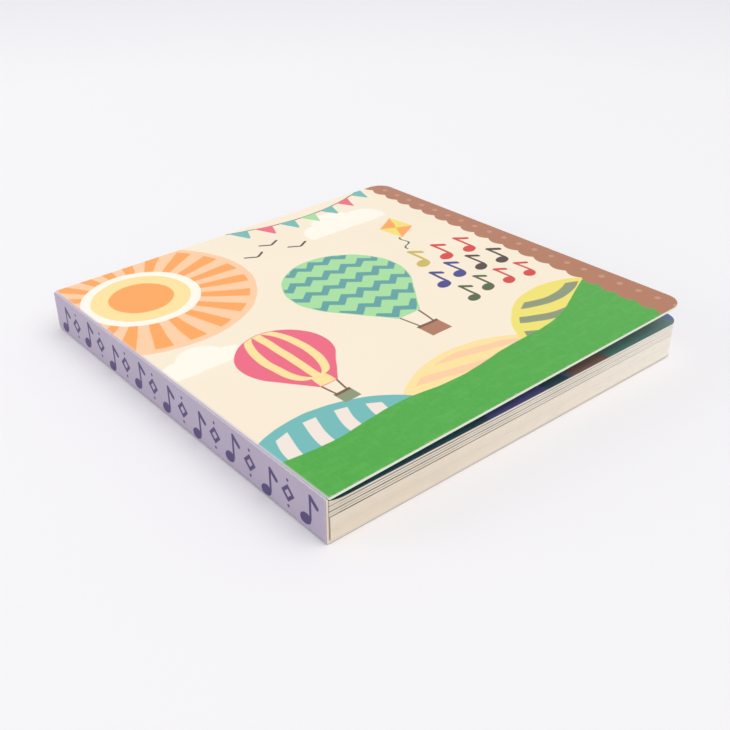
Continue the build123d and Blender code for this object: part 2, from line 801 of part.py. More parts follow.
wire_on_board = circuit_top + wire_radius
basket_wire_z = basket_top + wire_radius + part_clearance
bay_left = bay_x - bay_width / 2 - bay_wall
tab_left = circuit_tab_x - circuit_tab_reach / 2
battery_wire_z = strip_z - contact_tail - wire_radius - part_clearance
wire_routes = {
    "battery_wire": [
        (bay_x - 1.0, solder_y, battery_wire_z),
        (bay_left - 2.5, solder_y, battery_wire_z - 0.2),
        (bay_left - 2.0, bay_start_y + 10.6, battery_wire_z - 0.8),
        (bay_left - 2.7, bay_end_y - 6.6, battery_wire_z - 0.6),
        (tab_left - 1.2, circuit_tab_start_y + 1.0, wire_on_board + 0.5),
        (tab_left + 2.0, circuit_tab_start_y + 6.0, wire_on_board),
    ],
    "speaker_wire_red": [
        (speaker_x - 2.2, speaker_y - 7.1, basket_wire_z),
        (speaker_x - 2.6, speaker_y - 11.5, basket_wire_z + 0.6),
        (speaker_x - 3.5, speaker_y - 16.5, basket_wire_z + 0.8),
        (speaker_x - 2.9, circuit_tab_end_y - 3.0, wire_on_board),
    ],
    "speaker_wire_black": [
        (speaker_x + 2.2, speaker_y - 7.1, basket_wire_z),
        (speaker_x + 2.9, speaker_y - 12.0, basket_wire_z + 0.5),
        (speaker_x + 2.4, speaker_y - 17.0, basket_wire_z + 0.9),
        (speaker_x + 3.1, circuit_tab_end_y - 2.5, wire_on_board),
    ],
}
for wire_name, route in wire_routes.items():
    radii = wire_bends(route)
    print(wire_name, "bend radii", [round(radius, 1) for radius in radii])
    with BuildPart() as wire:
        with BuildLine():
            FilletPolyline(*route, radius=radii)
        with BuildSketch(Plane(origin=route[0], z_dir=Vector(*route[1]) - Vector(*route[0]))):
            Circle(wire_radius)
        sweep()
    wire.part.label = wire_name
    export_step(wire.part, f"parts/{wire_name}.step")
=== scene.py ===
# %% [markdown]
# # A sound book in its finishes
# This is a children's book of thick board, with a sound module in the block behind its leaves.
# Its solids are already built and packed. The lesson gives them their print, board, plastic and
# metal, adds a few small pieces, and lights them for a picture.
#
# The prints could be painted as image files. Here they are drawn in the shader instead, so the
# file stays small and a print stays sharp at any size.

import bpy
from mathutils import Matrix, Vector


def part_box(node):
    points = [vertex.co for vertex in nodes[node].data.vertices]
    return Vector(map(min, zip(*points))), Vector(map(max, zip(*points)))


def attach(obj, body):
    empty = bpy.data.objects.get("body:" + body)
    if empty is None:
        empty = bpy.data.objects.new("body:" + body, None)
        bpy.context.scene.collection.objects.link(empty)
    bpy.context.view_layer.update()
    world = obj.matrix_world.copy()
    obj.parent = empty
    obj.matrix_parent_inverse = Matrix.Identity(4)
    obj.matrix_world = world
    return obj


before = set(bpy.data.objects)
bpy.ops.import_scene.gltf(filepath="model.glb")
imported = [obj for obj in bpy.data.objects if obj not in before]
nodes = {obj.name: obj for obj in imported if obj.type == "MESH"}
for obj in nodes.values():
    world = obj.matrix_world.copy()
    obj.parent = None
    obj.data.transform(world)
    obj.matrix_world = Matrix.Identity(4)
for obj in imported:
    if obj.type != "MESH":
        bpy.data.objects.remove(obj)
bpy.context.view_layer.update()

import math

import bmesh
import bpy
from mathutils import Matrix, Vector

# %% [markdown]
# ## Sizes that the print follows
# A print is cut to the board it is glued on, so its layout starts from the board's own sizes.
# They could be typed in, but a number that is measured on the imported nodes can't drift away from
# the model. All are in millimetres, as on a workshop drawing, while Blender works in metres.

# %% Sizes of the book
to_mm = 1000.0


def box_mm(name):
    """Lowest and highest corner of a node, in millimetres."""
    lowest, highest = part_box(name)
    return [value * to_mm for value in lowest], [value * to_mm for value in highest]


def middle_mm(name):
    """The X and Y of a node's middle, in millimetres."""
    lowest, highest = box_mm(name)
    return (lowest[0] + highest[0]) / 2, (lowest[1] + highest[1]) / 2


half_width, half_height, spine_top = box_mm("back_cover_and_spine")[1]
core_top = box_mm("core_block")[1][2]
leaves_together = 5.4
page_top = core_top + leaves_together
print("spine", round(spine_top, 2), "block", round(core_top, 2), "leaves", round(page_top, 2))

# %% [markdown]
# ## Shader numbers as plain expressions
# Every print is drawn with distances: a shape is a number that is below zero inside it. That
# takes hundreds of Math nodes. They could be wired one by one, but nobody can read what those
# mean. A small class wraps a socket instead, so that `1 - mask` adds its node and still reads
# like arithmetic.

# %% Values
class Value:
    """A number in a node tree, for plain expressions."""

    def __init__(self, owner, socket):
        self.owner = owner
        self.socket = socket

    def maths(self, operation, *others):
        """A Math node on this number and any others."""
        return self.owner.maths(operation, self, *others)

    def __add__(self, other):
        return self.maths("ADD", other)

    __radd__ = __add__

    def __sub__(self, other):
        return self.maths("SUBTRACT", other)

    def __rsub__(self, other):
        return self.owner.maths("SUBTRACT", other, self)

    def __neg__(self):
        return 0.0 - self

    def __mul__(self, other):
        return self.maths("MULTIPLY", other)

    __rmul__ = __mul__

    def __truediv__(self, other):
        return self.maths("DIVIDE", other)

    def __rtruediv__(self, other):
        return self.owner.maths("DIVIDE", other, self)

    def __abs__(self):
        return self.maths("ABSOLUTE")


print("values add, subtract, multiply and divide")

# %% [markdown]
# ## One method for every node
# A node has a type, settings and sockets, and the settings come first because they decide which
# sockets it has. One method takes all three, so the rest of the lesson never wires a node by
# hand. It serves the materials and also the light of the world.

# %% Nodes
class NodeTree:
    """A node tree that starts empty."""

    def __init__(self, tree):
        self.tree = tree
        self.tree.nodes.clear()

    def node(self, kind, settings=None, sockets=None):
        """A node by its type, its settings, and the values or links of its sockets."""
        made = self.tree.nodes.new(kind)
        for name, value in (settings or {}).items():
            setattr(made, name, value)
        inputs = {socket.identifier: socket for socket in made.inputs}
        for name, value in (sockets or {}).items():
            self.feed(inputs[name], value)
        return made

    def feed(self, socket, value):
        """Gives a socket a plain value, or a link from another node."""
        if isinstance(value, Value):
            value = value.socket
        if isinstance(value, bpy.types.NodeSocket):
            self.tree.links.new(value, socket)
        else:
            socket.default_value = value

    def maths(self, operation, *numbers):
        """A Math node on one, two or three numbers."""
        sockets = dict(zip(("Value", "Value_001", "Value_002"), numbers))
        made = self.node("ShaderNodeMath", {"operation": operation}, sockets)
        return Value(self, made.outputs[0])


print("one method makes every node")

# %% [markdown]
# ## A finish
# On the real book a finish is what lies on a surface: ink under film, bare fibre, plated steel.
# Each is one material here. A pattern could follow a map of the unfolded mesh, but these solids
# are simple, so it follows the place on the piece itself, scaled to millimetres, and stays on it
# when the piece moves.

# %% Finishes
class Finish(NodeTree):
    """A material whose patterns follow the place on the piece, in millimetres."""

    def __init__(self, name, **surface):
        self.material = bpy.data.materials.new(name)
        self.material.use_nodes = True
        super().__init__(self.material.node_tree)
        self.surface = self.node("ShaderNodeBsdfPrincipled")
        self.set(**surface)
        self.node("ShaderNodeOutputMaterial", sockets={"Surface": self.surface.outputs["BSDF"]})
        self.place = self.node("ShaderNodeTexCoord").outputs
        self.point = self.stretched(self.place["Object"], (to_mm, to_mm, to_mm))

    def set(self, **sockets):
        """Feeds the surface shader, with underscores for the spaces in its sockets' names."""
        for name, value in sockets.items():
            self.feed(self.surface.inputs[name.replace("_", " ")], value)

    def stretched(self, vector, scale):
        """A place with each of its axes scaled."""
        sockets = {"Vector": vector, "Scale": scale}
        return self.node("ShaderNodeMapping", sockets=sockets).outputs["Vector"]

    def axes(self):
        """The X, Y and Z of the place on the piece."""
        made = self.node("ShaderNodeSeparateXYZ", sockets={"Vector": self.point})
        return [Value(self, socket) for socket in made.outputs]

    def facing(self, direction):
        """How far the face looks along a direction: 1 straight along it, 0 across it."""
        made = self.node(
            "ShaderNodeVectorMath",
            {"operation": "DOT_PRODUCT"},
            {"Vector": self.place["Normal"], "Vector_001": direction},
        )
        return Value(self, made.outputs["Value"])

    def noise(self, scale, detail=2.0, stretch=None, roughness=0.5):
        """Noise from 0 to 1, with its scale in lumps per millimetre, times the stretch."""
        vector = self.stretched(self.point, stretch) if stretch else self.point
        made = self.node(
            "ShaderNodeTexNoise",
            sockets={"Vector": vector, "Scale": scale, "Detail": detail, "Roughness": roughness},
        )
        return Value(self, made.outputs[0])

    def mix(self, below, above, amount):
        """One colour over another, by an amount from 0 to 1."""
        made = self.node(
            "ShaderNodeMix",
            {"data_type": "RGBA"},
            {"Factor_Float": amount, "A_Color": below, "B_Color": above},
        )
        return [output for output in made.outputs if output.identifier == "Result_Color"][0]

    def bump(self, height, depth_mm):
        """A bump for a height from 0 to 1 that stands for a depth in millimetres."""
        sockets = {"Height": height, "Distance": depth_mm / to_mm}
        return self.node("ShaderNodeBump", sockets=sockets).outputs["Normal"]


print("finishes ready")

# %% [markdown]
# ## Colours and helpers for numbers
# A colour on a screen is stored on a curve, while a shader adds light in a straight line, so
# each colour is made linear first. The helpers below clip, compare and count. They could be
# methods too, but as plain functions they read as in a maths book.

# %% Colours
black = (0.0, 0.0, 0.0, 1.0)
white = (1.0, 1.0, 1.0, 1.0)


def rgb(red, green, blue):
    """A colour written as on a screen, made linear for the shader."""
    def linear(level):
        # The curve that all screens share: straight near black, and a power above
        level = level / 255
        return level / 12.92 if level <= 0.04045 else ((level + 0.055) / 1.055) ** 2.4
    return (linear(red), linear(green), linear(blue), 1.0)


print("middle grey becomes", round(rgb(128, 128, 128)[0], 3))

# %% Helpers for numbers
def low(first, *others):
    """The lowest number. Of distances, it is all the shapes together."""
    for other in others:
        first = first.maths("MINIMUM", other)
    return first


def high(first, *others):
    """The highest number. Of distances, it is where all the shapes overlap."""
    for other in others:
        first = first.maths("MAXIMUM", other)
    return first


def sine(value):
    """A wave from -1 to 1."""
    return value.maths("SINE")


def odd(number):
    """1 for an odd whole number, 0 for an even one."""
    return abs(number.maths("MODULO", 2.0))


def share(value):
    """Keeps a value between 0 and 1."""
    made = value.owner.node("ShaderNodeClamp", sockets={"Value": value})
    return Value(value.owner, made.outputs[0])


def between(value, start, end):
    """0 at start and 1 at end, straight in between."""
    return share((value - start) / (end - start))


print("helpers ready")

# %% [markdown]
# ## Shapes as distances
# A disc is a length less a radius, a bar is the larger of two overhangs, and the lower of two
# distances joins two shapes. A row of equal shapes could be a loop that adds each one. It costs
# one shape here, because the coordinate is folded back into one cell first.

# %% Flat shapes
ink_softness = 0.14


def length(x, y):
    """How far a point lies from the origin."""
    return (x * x + y * y).maths("SQRT")


def disc(x, y, centre, radius):
    """A round shape."""
    return length(x - centre[0], y - centre[1]) - radius


def oval(x, y, centre, radii):
    """A round shape pressed flat: exact on its rim, near enough beside it."""
    u, v = (x - centre[0]) / radii[0], (y - centre[1]) / radii[1]
    return (length(u, v) - 1.0) * min(radii)


def bar(u, v, half_length, half_breadth):
    """A straight piece with square ends."""
    return high(abs(u) - half_length, abs(v) - half_breadth)


def outline(distance, breadth):
    """A line along the rim of a shape."""
    return abs(distance) - breadth / 2


def spot(distance, softness=ink_softness):
    """How much of a shape's ink lies at a point, from its distance."""
    return share(0.5 - distance / (2 * softness))


print("ink runs out over", 2 * ink_softness, "mm")

# %% Turned and repeated shapes
def turned(x, y, centre, degrees):
    """The coordinates seen from a centre, turned by an angle."""
    along, aside = math.cos(math.radians(degrees)), math.sin(math.radians(degrees))
    u, v = x - centre[0], y - centre[1]
    return u * along + v * aside, v * along - u * aside


def stroke(x, y, start, end, breadth):
    """A line with round ends."""
    reach = math.dist(start, end)
    degrees = math.degrees(math.atan2(end[1] - start[1], end[0] - start[0]))
    middle = ((start[0] + end[0]) / 2, (start[1] + end[1]) / 2)
    u, v = turned(x, y, middle, degrees)
    return length(high(abs(u) - reach / 2, 0.0), v) - breadth / 2


def row(x, pitch, first, last):
    """Folds x into the cells of a row: the place in the cell and the cell's number."""
    number = low(high((x / pitch).maths("ROUND"), float(first)), float(last))
    return x - number * pitch, number


def note(u, v, size):
    """A music note: a slanting oval head, a stem and a flag."""
    a, b = turned(u, v, (-0.12 * size, -0.38 * size), 20)
    head = length(a / 1.35, b) - 0.17 * size
    stem = bar(u - 0.075 * size, v - 0.05 * size, 0.045 * size, 0.38 * size)
    flag_start, flag_end = (0.09 * size, 0.38 * size), (0.34 * size, 0.18 * size)
    return low(head, stem, stroke(u, v, flag_start, flag_end, 0.14 * size))


print("shapes ready")

# %% [markdown]
# ## Printed and laminated board
# A board book's cover is thick board wrapped in printed paper with a thin film on it. The film
# gives a soft sheen with a faint orange-peel, the print reaches just over the edge, and the cut
# edge shows pale plies. The same few layers serve every printed piece, so they come first. A
# sheet keeps its colour so far, and each ink is laid over it, as in a printing press.

# %% A sheet that takes ink
class Sheet:
    """The colour of a surface so far, with inks and wear laid over it one by one."""

    def __init__(self, finish, colour):
        self.finish = finish
        self.colour = colour

    def tint(self, colour, amount):
        """Lays a colour over the sheet, by an amount from 0 to 1."""
        self.colour = self.finish.mix(self.colour, colour, amount)

    def lay(self, colour, distance, softness=ink_softness):
        """Prints a flat shape."""
        self.tint(colour, spot(distance, softness))

    def tell(self, what):
        print(what, "laid,", len(self.finish.tree.nodes), "nodes so far")


print("sheets ready")

# %% Layers that printed pieces share
film_roughness = 0.4


def paper_tone(finish, colour, amount=0.05):
    """A printed field is never quite even: it drifts a little over the sheet."""
    drift = between(finish.noise(0.035, 3.0), 0.35, 0.65)
    grain = between(finish.noise(2.2, 2.0), 0.3, 0.7)
    darker = finish.mix(colour, black, amount * 0.6)
    lighter = finish.mix(colour, white, amount)
    return finish.mix(darker, lighter, drift * 0.75 + grain * 0.25)


def film(finish, lift=0.0):
    """Sheen and orange-peel of the film on a print."""
    peel = finish.noise(0.9, 2.0)
    scuff = between(finish.noise(0.12, 4.0, roughness=0.65), 0.5, 0.75)
    finish.set(Roughness=film_roughness + lift + peel * 0.06 + scuff * 0.07)
    finish.set(Normal=finish.bump(peel, depth_mm=0.006))


def ply_edge(finish, depth, pale, dark, plies, breadth):
    """The cut edge of a board: fibres pressed in layers that run round it."""
    fibres = finish.noise(1.4, 3.0, stretch=(0.25, 0.25, 5.0))
    layers = sine(depth * (2 * math.pi * plies / breadth) + fibres * 3.0) * 0.5 + 0.5
    return finish.mix(dark, pale, share(fibres * 0.75 + layers * 0.35 - 0.12))


def looking(facing, least=0.6, softness=0.05):
    """1 on the faces that look along a direction by more than the least, else 0."""
    return spot(least - facing, softness)


print("film roughness from", film_roughness)

# %% [markdown]
# ## The sky of the cover
# The cover's picture is printed flat, in a few warm inks on cream. A ready pattern would look
# like a machine's, and shapes cut by hand are never quite true. So the coordinates waver by a
# hair before any shape is drawn, and every motif after this cell inherits it.

# %% Sky
cover_print = Finish("cover_print_laminated", Specular_IOR_Level=0.3)
cover = Sheet(cover_print, paper_tone(cover_print, rgb(249, 235, 212), 0.03))
x, y, _ = cover_print.axes()
waver_mm = 1.3
x = x + (cover_print.noise(0.07, 1.0) - 0.5) * waver_mm
y = y + (cover_print.noise(0.09, 1.0) - 0.5) * waver_mm
cover.tell("sky")

# %% [markdown]
# ## Sun and clouds
# A large sun fills the corner by the spine, with a ring of rays. Twenty wedges could be placed
# by a loop. The angle is folded instead, so one wedge repeats, as a paper star is cut from a
# folded sheet. A cloud is three discs over a straight base.

# %% Sun
peach = rgb(252, 206, 164)
orange = rgb(253, 166, 88)
cloud_white = rgb(255, 248, 234)
pale_yellow = rgb(252, 226, 158)
sun_x, sun_y = -66.0, 60.0
rays, ray_reach, glow_reach = 20, 44.0, 47.0
u, v = x - sun_x, y - sun_y
out = length(u, v)
angle = v.maths("ARCTAN2", u) * (rays / (2 * math.pi))
ray = abs(angle - angle.maths("ROUND")) * 2.0
cover.lay(peach, out - glow_reach)
# Half a ray's pitch is about 0.15 of the distance out
cover.lay(orange, high(out - ray_reach, (ray - 0.5) * out * 0.15))
for colour, radius in ((cloud_white, 24.0), (pale_yellow, 20.0), (orange, 13.0)):
    cover.lay(colour, out - radius)
cover.tell("sun")

# %% Clouds
for puffs, base_y in (
    (((29, 61, 9), (41, 66, 12), (55, 62, 10)), 57.0),
    (((-84, -2, 8), (-74, 1, 10), (-64, -3, 7)), -6.0),
):
    cloud = low(*[disc(x, y, (puff_x, puff_y), radius) for puff_x, puff_y, radius in puffs])
    cover.lay(cloud_white, high(cloud, base_y - y), softness=0.5)
cover.tell("clouds")

# %% [markdown]
# ## Hills
# Three hills stand behind the ground, each an oval with stripes of its own: straight, winding
# and ringed. The stripes are rows of one folded line, and they stop a little inside the outline,
# so each hill keeps a plain rim.

# %% Hills
blush = rgb(242, 230, 220)
teal = rgb(112, 186, 184)
lemon = rgb(240, 226, 112)
olive = rgb(138, 150, 118)


def hill(centre, radii, colour, stripe_colour, stripe, rim):
    """Lays a hill, and its stripes inside a plain rim."""
    mound = oval(x, y, centre, radii)
    cover.lay(colour, mound)
    cover.lay(stripe_colour, high(mound + rim, stripe))


straight, _ = row(y + x * 0.25 + 60.0, pitch=9.0, first=-5, last=6)
straight = outline(straight, breadth=4.0)
hill((-6.0, -96.0), (46.0, 42.0), pale_yellow, peach, straight, rim=3.0)
winding, _ = row(x + sine(y * 0.16) * 2.2 + 70.0, pitch=12.0, first=-3, last=3)
winding = outline(winding, breadth=5.2)
hill((-70.0, -94.0), (46.0, 43.0), teal, blush, winding, rim=4.0)
ringed, _ = row(length(x - 56.0, y + 20.0), pitch=11.0, first=2, last=8)
ringed = outline(ringed, breadth=4.8)
hill((56.0, -88.0), (40.0, 46.0), lemon, olive, ringed, rim=3.0)
cover.tell("hills")

# %% [markdown]
# ## Balloons
# Two hot-air balloons carry the picture. Both have the same build, ropes, basket and a skin that
# narrows to its mouth, so one function draws them at any size. Only the pattern on the skin
# differs: zigzag bands on one, upright gores on the other.

# %% One balloon
cocoa = rgb(122, 82, 66)


def balloon(centre, radius, skin_colour, basket_colour):
    """Lays a balloon, and gives its own coordinates and its skin for a pattern."""
    u, v = x - centre[0], y - centre[1]
    rope_start, rope_end = (0.185 * radius, -1.37 * radius), (0.126 * radius, -1.78 * radius)
    cover.lay(cocoa, stroke(abs(u), v, rope_start, rope_end, 0.8))
    cover.lay(basket_colour, bar(u, v + 1.93 * radius, 0.16 * radius, 0.14 * radius) - 0.7)
    cover.lay(cocoa, bar(u, v + 1.79 * radius, 0.19 * radius, 0.7))
    cone = (abs(u) - (v + 1.7 * radius) * 0.725) * 0.81
    skin = low(length(u, v) - radius, high(cone, abs(v + radius) - 0.41 * radius))
    cover.lay(skin_colour, skin)
    return u, v, skin


print("balloons can be laid at any size")

# %% Balloon with zigzag bands
leaf_green = rgb(166, 222, 160)
teal_deep = rgb(92, 160, 160)
bark = rgb(177, 119, 91)
u, v, skin = balloon((4.0, 14.0), 27.0, leaf_green, bark)
tooth, _ = row(u, pitch=9.0, first=-3, last=3)
band, _ = row(v + abs(tooth) * 0.9 - 2.0, pitch=11.0, first=-3, last=2)
cover.lay(teal_deep, high((abs(band) - 2.1) * 0.74, skin + 0.5))
cover.tell("first balloon")

# %% Balloon with gores
pink = rgb(236, 104, 130)
gored_radius = 18.5
u, v, skin = balloon((-50.0, -16.0), gored_radius, pink, olive)
bulge = high(1.13 * gored_radius * gored_radius - v * v, 0.0).maths("SQRT")
belly = bulge * 0.45 + spot(v + 0.8 * gored_radius, 8.0) * 1.6
for gore in (abs(abs(u) - belly), abs(u)):
    cover.lay(pale_yellow, high(gore - 1.8, skin + 0.4))
cover.tell("second balloon")

# %% [markdown]
# ## Kite and birds
# Small motifs fill the sky between the large ones. The kite is a diamond in turned coordinates,
# coloured by the sign of u times v, which changes from quarter to quarter. A bird is one stroke
# that the absolute value mirrors into a pair of wings.

# %% Kite and birds
moss = rgb(76, 98, 62)
u, v = turned(x, y, centre=(57.0, 42.0), degrees=-28)
kite = abs(u) * 0.83 + abs(v) * 0.56 - 6.5
cover.lay(orange, kite)
cover.lay(lemon, high(kite, -(u * v)))
tail = outline(u - sine(v * 0.62) * 1.5, breadth=0.9)
cover.lay(moss, high(tail, abs(v + 18.0) - 6.6))

dark_cocoa = rgb(76, 60, 54)
for bird_x, bird_y in ((-9.0, 60.0), (3.0, 66.0), (12.0, 56.0)):
    wings = stroke(abs(x - bird_x), y - bird_y, (0.3, 0.0), (4.6, 2.6), breadth=1.1)
    cover.lay(dark_cocoa, wings)
cover.tell("kite and birds")

# %% [markdown]
# ## Ground and edge band
# A green ground runs along the foot and rises towards the fore edge, mottled as a brush leaves
# it. Two noises, one for blades and one for light, do that without a brush. A brown band with
# scallops finishes the fore edge. Both come after the hills, as a later ink covers an earlier.

# %% Ground
ground_y, rise_mm, ripple_mm = -68.0, 20.0, 1.2
rising = between(x, 5.0, 84.0)
ground = y - ground_y - rising * rising * rise_mm - sine(x * 0.11) * ripple_mm
cover.lay(rgb(77, 170, 66), ground)
blades = cover_print.noise(0.7, 3.0, stretch=(1.6, 0.6, 1.0), roughness=0.6)
cover.tint(rgb(60, 148, 52), spot(ground) * between(blades, 0.44, 0.6) * 0.22)
lit = cover_print.noise(0.24, 2.0, stretch=(0.6, 1.5, 1.0))
cover.tint(rgb(98, 180, 84), spot(ground) * between(lit, 0.5, 0.66) * 0.3)
cover.tell("ground")

# %% Band along the fore edge
band_x, band_slant, dot_radius = 74.5, 4.0, 1.3
scallop, _ = row(y, pitch=9.0, first=-11, last=11)
slant = between(y, -90.0, 60.0) * band_slant
cover.lay(bark, band_x - x + scallop * scallop * 0.09 + slant)
cover.lay(rgb(198, 146, 118), length(x - (band_x + 10.0), scallop) - dot_radius)
cover.tell("band")

# %% [markdown]
# ## Flags and notes
# Flags hang on a string across the head, and rows of notes tell that the book makes sound. Each
# could be placed by hand. As cells of a row, their number picks the colour and swings a note up
# or down, so that a row doesn't look ruled.

# %% Flags
dip_x, dip_y, sag = 34.0, 82.0, 0.0052
flags_x, flag_pitch, flag_drop = 36.0, 12.0, 9.0
from_dip = x - dip_x
string = y - dip_y - from_dip * from_dip * sag
cover.lay(cocoa, high(outline(string, 0.8), abs(x - flags_x) - 3.5 * flag_pitch))
flag, number = row(x - flags_x, flag_pitch, first=-3, last=3)
cloth = high(string, -string - flag_drop, abs(flag) - 4.2 - string * 0.42)
cover.lay(leaf_green, cloth)
cover.tint(teal, spot(cloth) * odd(number))
cover.tint(pink, spot(cloth) * spot(abs(abs(number) - 2.0) - 0.5))
cover.tell("flags")

# %% Notes
red = rgb(214, 66, 62)
navy = rgb(66, 66, 138)
straw = rgb(204, 184, 90)
for row_x, row_y, size, pitch, first, inks in (
    (54.0, 10.0, 16.0, 12.6, -1, (red, straw)),
    (57.0, -8.0, 15.0, 11.6, -2, (dark_cocoa, navy)),
    (56.0, -25.0, 14.0, 11.0, -2, (red, moss)),
):
    u, number = row(x - row_x, pitch, first, last=1)
    notes = spot(note(u, y - row_y + sine(number * 2.0) * 1.6, size))
    cover.tint(inks[0], notes)
    cover.tint(inks[1], notes * share(-number))
cover.tell("notes")

# %% [markdown]
# ## The front cover's board
# The picture lies on the top face only. A strip of pale lilac along the crease by the spine is a
# painted highlight on the rounded fold, the edges show white where the film has worn through, the
# cut edge shows its plies, and the inner side is plain lining paper. Each could be a material of
# its own with faces picked by hand. The face's direction picks them here, so one finish covers the
# whole board.

# %% Front cover
cover_turn = math.radians(1.78)
cover_board = 1.1
hinge_x = 0.45 - half_width
x, y, z = cover_print.axes()
border = low(half_width - x, half_height - abs(y), x + half_width)
nicks = between(cover_print.noise(0.9, 4.0, roughness=0.7), 0.5, 0.72)
cover.tint(rgb(250, 247, 238), spot(border - 0.4, 0.4) * nicks * 0.4)
# Painted highlight: pale lilac along the rounded crease by the spine
cover.tint(rgb(214, 202, 218), spot(x + half_width - 1.3, 0.5) * 0.85)

depth = (x - hinge_x) * math.sin(cover_turn) - (z - spine_top) * math.cos(cover_turn)
cut_edge = ply_edge(
    cover_print, depth,
    pale=rgb(250, 252, 240), dark=rgb(224, 234, 208), plies=2.5, breadth=cover_board,
)
cover_faces = Sheet(cover_print, cut_edge)
cover_faces.tint(rgb(150, 196, 132), spot(depth - 0.22, 0.12) * 0.7)
upward = cover_print.facing((-math.sin(cover_turn), 0.0, math.cos(cover_turn)))
cover_faces.tint(cover.colour, looking(upward))
inside = paper_tone(cover_print, rgb(236, 228, 214), 0.05)
cover_faces.tint(inside, looking(-upward))
cover_print.set(Base_Color=cover_faces.colour)
film(cover_print)
cover_faces.tell("front cover")

# %% [markdown]
# ## Spine and back cover
# One sheet of board is folded round the foot of the spine, and its outer side is printed lilac.
# Notes and lozenges in dark purple run along the spine: two marks are drawn, and the coordinate
# is folded to repeat them. The back is plain, a little rubbed where it lies, with marks that
# show where the speaker, the switch and the battery door are.

# %% Spine
lilac = rgb(181, 169, 192)
spine_ink = rgb(74, 54, 112)
wrap_print = Finish("wrap_print_laminated")
x, y, z = wrap_print.axes()
spine = Sheet(wrap_print, paper_tone(wrap_print, lilac, 0.04))
height = z - spine_top / 2
mark_pitch, note_size = 10.2, 12.4
u, number = row(y, mark_pitch, first=-8, last=8)
marks = note(-u, height + sine(number * 1.9) * 0.9, note_size)
girth = abs(u) + abs(height)
lozenge = high((girth - 3.4) * 0.7, 1.1 - girth * 0.7)
lozenge = low(lozenge, length(u, abs(height) - 4.9) - 0.6)
spine.tint(spine_ink, spot(marks, 0.12) * (1.0 - odd(number)))
spine.tint(spine_ink, spot(lozenge, 0.12) * odd(number))
spine.tell("spine")

# %% Marks on the back
back = Sheet(wrap_print, paper_tone(wrap_print, lilac, 0.06))
scuffs = between(wrap_print.noise(0.07, 5.0, roughness=0.7), 0.55, 0.75)
back.tint(rgb(206, 197, 218), scuffs * 0.3)

speaker_x, speaker_y = middle_mm("speaker_frame")
speaker_centre = (speaker_x, speaker_y)
ring = outline(disc(x, y, speaker_centre, radius=13.2), breadth=0.7)
sound_mark = note(x - speaker_x, y - speaker_y - 20.0, size=9.0)

switch_x, switch_y = middle_mm("switch_body")
marks_beside, marks_apart = 7.0, 5.4
u, v = x - switch_x + marks_beside, y - switch_y
off_mark = outline(length(u, v + marks_apart) - 1.1, breadth=0.44)
on_mark = bar(u, v - marks_apart, half_length=0.22, half_breadth=1.2)

door_low, door_high = box_mm("battery_door")
door_y = (door_low[1] + door_high[1]) / 2 - 1.1
door_halves = (door_high[0] - door_low[0]) / 2 + 2.4, (door_high[1] - door_low[1]) / 2 + 1.25
door_mark = outline(bar(x - speaker_x, y - door_y, *door_halves), breadth=0.4)

marks = low(ring, sound_mark, off_mark, on_mark, door_mark)
back.tint(spine_ink, spot(marks, 0.1) * 0.7)
back.tell("marks round the speaker, the switch and the door")

# %% [markdown]
# ## The folded board
# The print goes over the spine and the back, and wears off along the outer edges. At the head
# and the foot the cut board shows, with one dark line along its outer skin: the edge of the
# printed paper, darkened as a painted contact shadow where the back lies on the floor. The spine's
# top edge has a painted highlight in pale lilac. Inside is lining paper. Again the face's
# direction tells these apart, so no face is picked by hand.

# %% Wrapped board
wrap_board = 1.0
outward = wrap_print.facing((-1.0, 0.0, 0.0))
downward = wrap_print.facing((0.0, 0.0, -1.0))
outer = Sheet(wrap_print, spine.colour)
outer.tint(back.colour, looking(downward, least=0.75, softness=0.08))
border = low(half_height - abs(y), spine_top - z, half_width - x)
nicks = between(wrap_print.noise(1.1, 4.0, roughness=0.7), 0.45, 0.7)
outer.tint(rgb(240, 238, 240), spot(border - 0.45, 0.35) * nicks * 0.6)

skin_depth = low(x + half_width, z)
cut_edge = ply_edge(
    wrap_print, skin_depth,
    pale=rgb(238, 226, 208), dark=rgb(222, 208, 188), plies=2.0, breadth=wrap_board,
)
cut_board = Sheet(wrap_print, cut_edge)
# Painted shadow: the printed paper's edge as a dark line, darkened as contact shadow where the
# back meets the floor
cut_board.tint(rgb(150, 141, 146), spot(skin_depth - 0.24, 0.08) * 0.85)

wrap_faces = Sheet(wrap_print, paper_tone(wrap_print, rgb(238, 232, 222), 0.05))
wrap_faces.tint(outer.colour, looking(high(outward, downward), least=0.35))
wrap_faces.tint(cut_board.colour, looking(abs(wrap_print.facing((0.0, 1.0, 0.0)))))
# Painted highlight: the spine's top edge in lighter lilac, where the wrap rounds over the board
rim = looking(wrap_print.facing((0.0, 0.0, 1.0))) * spot(spine_top - 2.0 - z)
wrap_faces.tint(rgb(208, 196, 213), rim)
wrap_print.set(Base_Color=wrap_faces.colour)
film(wrap_print, lift=0.03)
wrap_faces.tell("spine and back")

# %% [markdown]
# ## The first page
# The leaves are cream board with a print on each side. Only a strip of the first page shows, in
# the shadow under the cover, but the cover opens, so the whole page is drawn: a night of deep
# blues with a moon and stars. One round mark over each push button shows where to press.

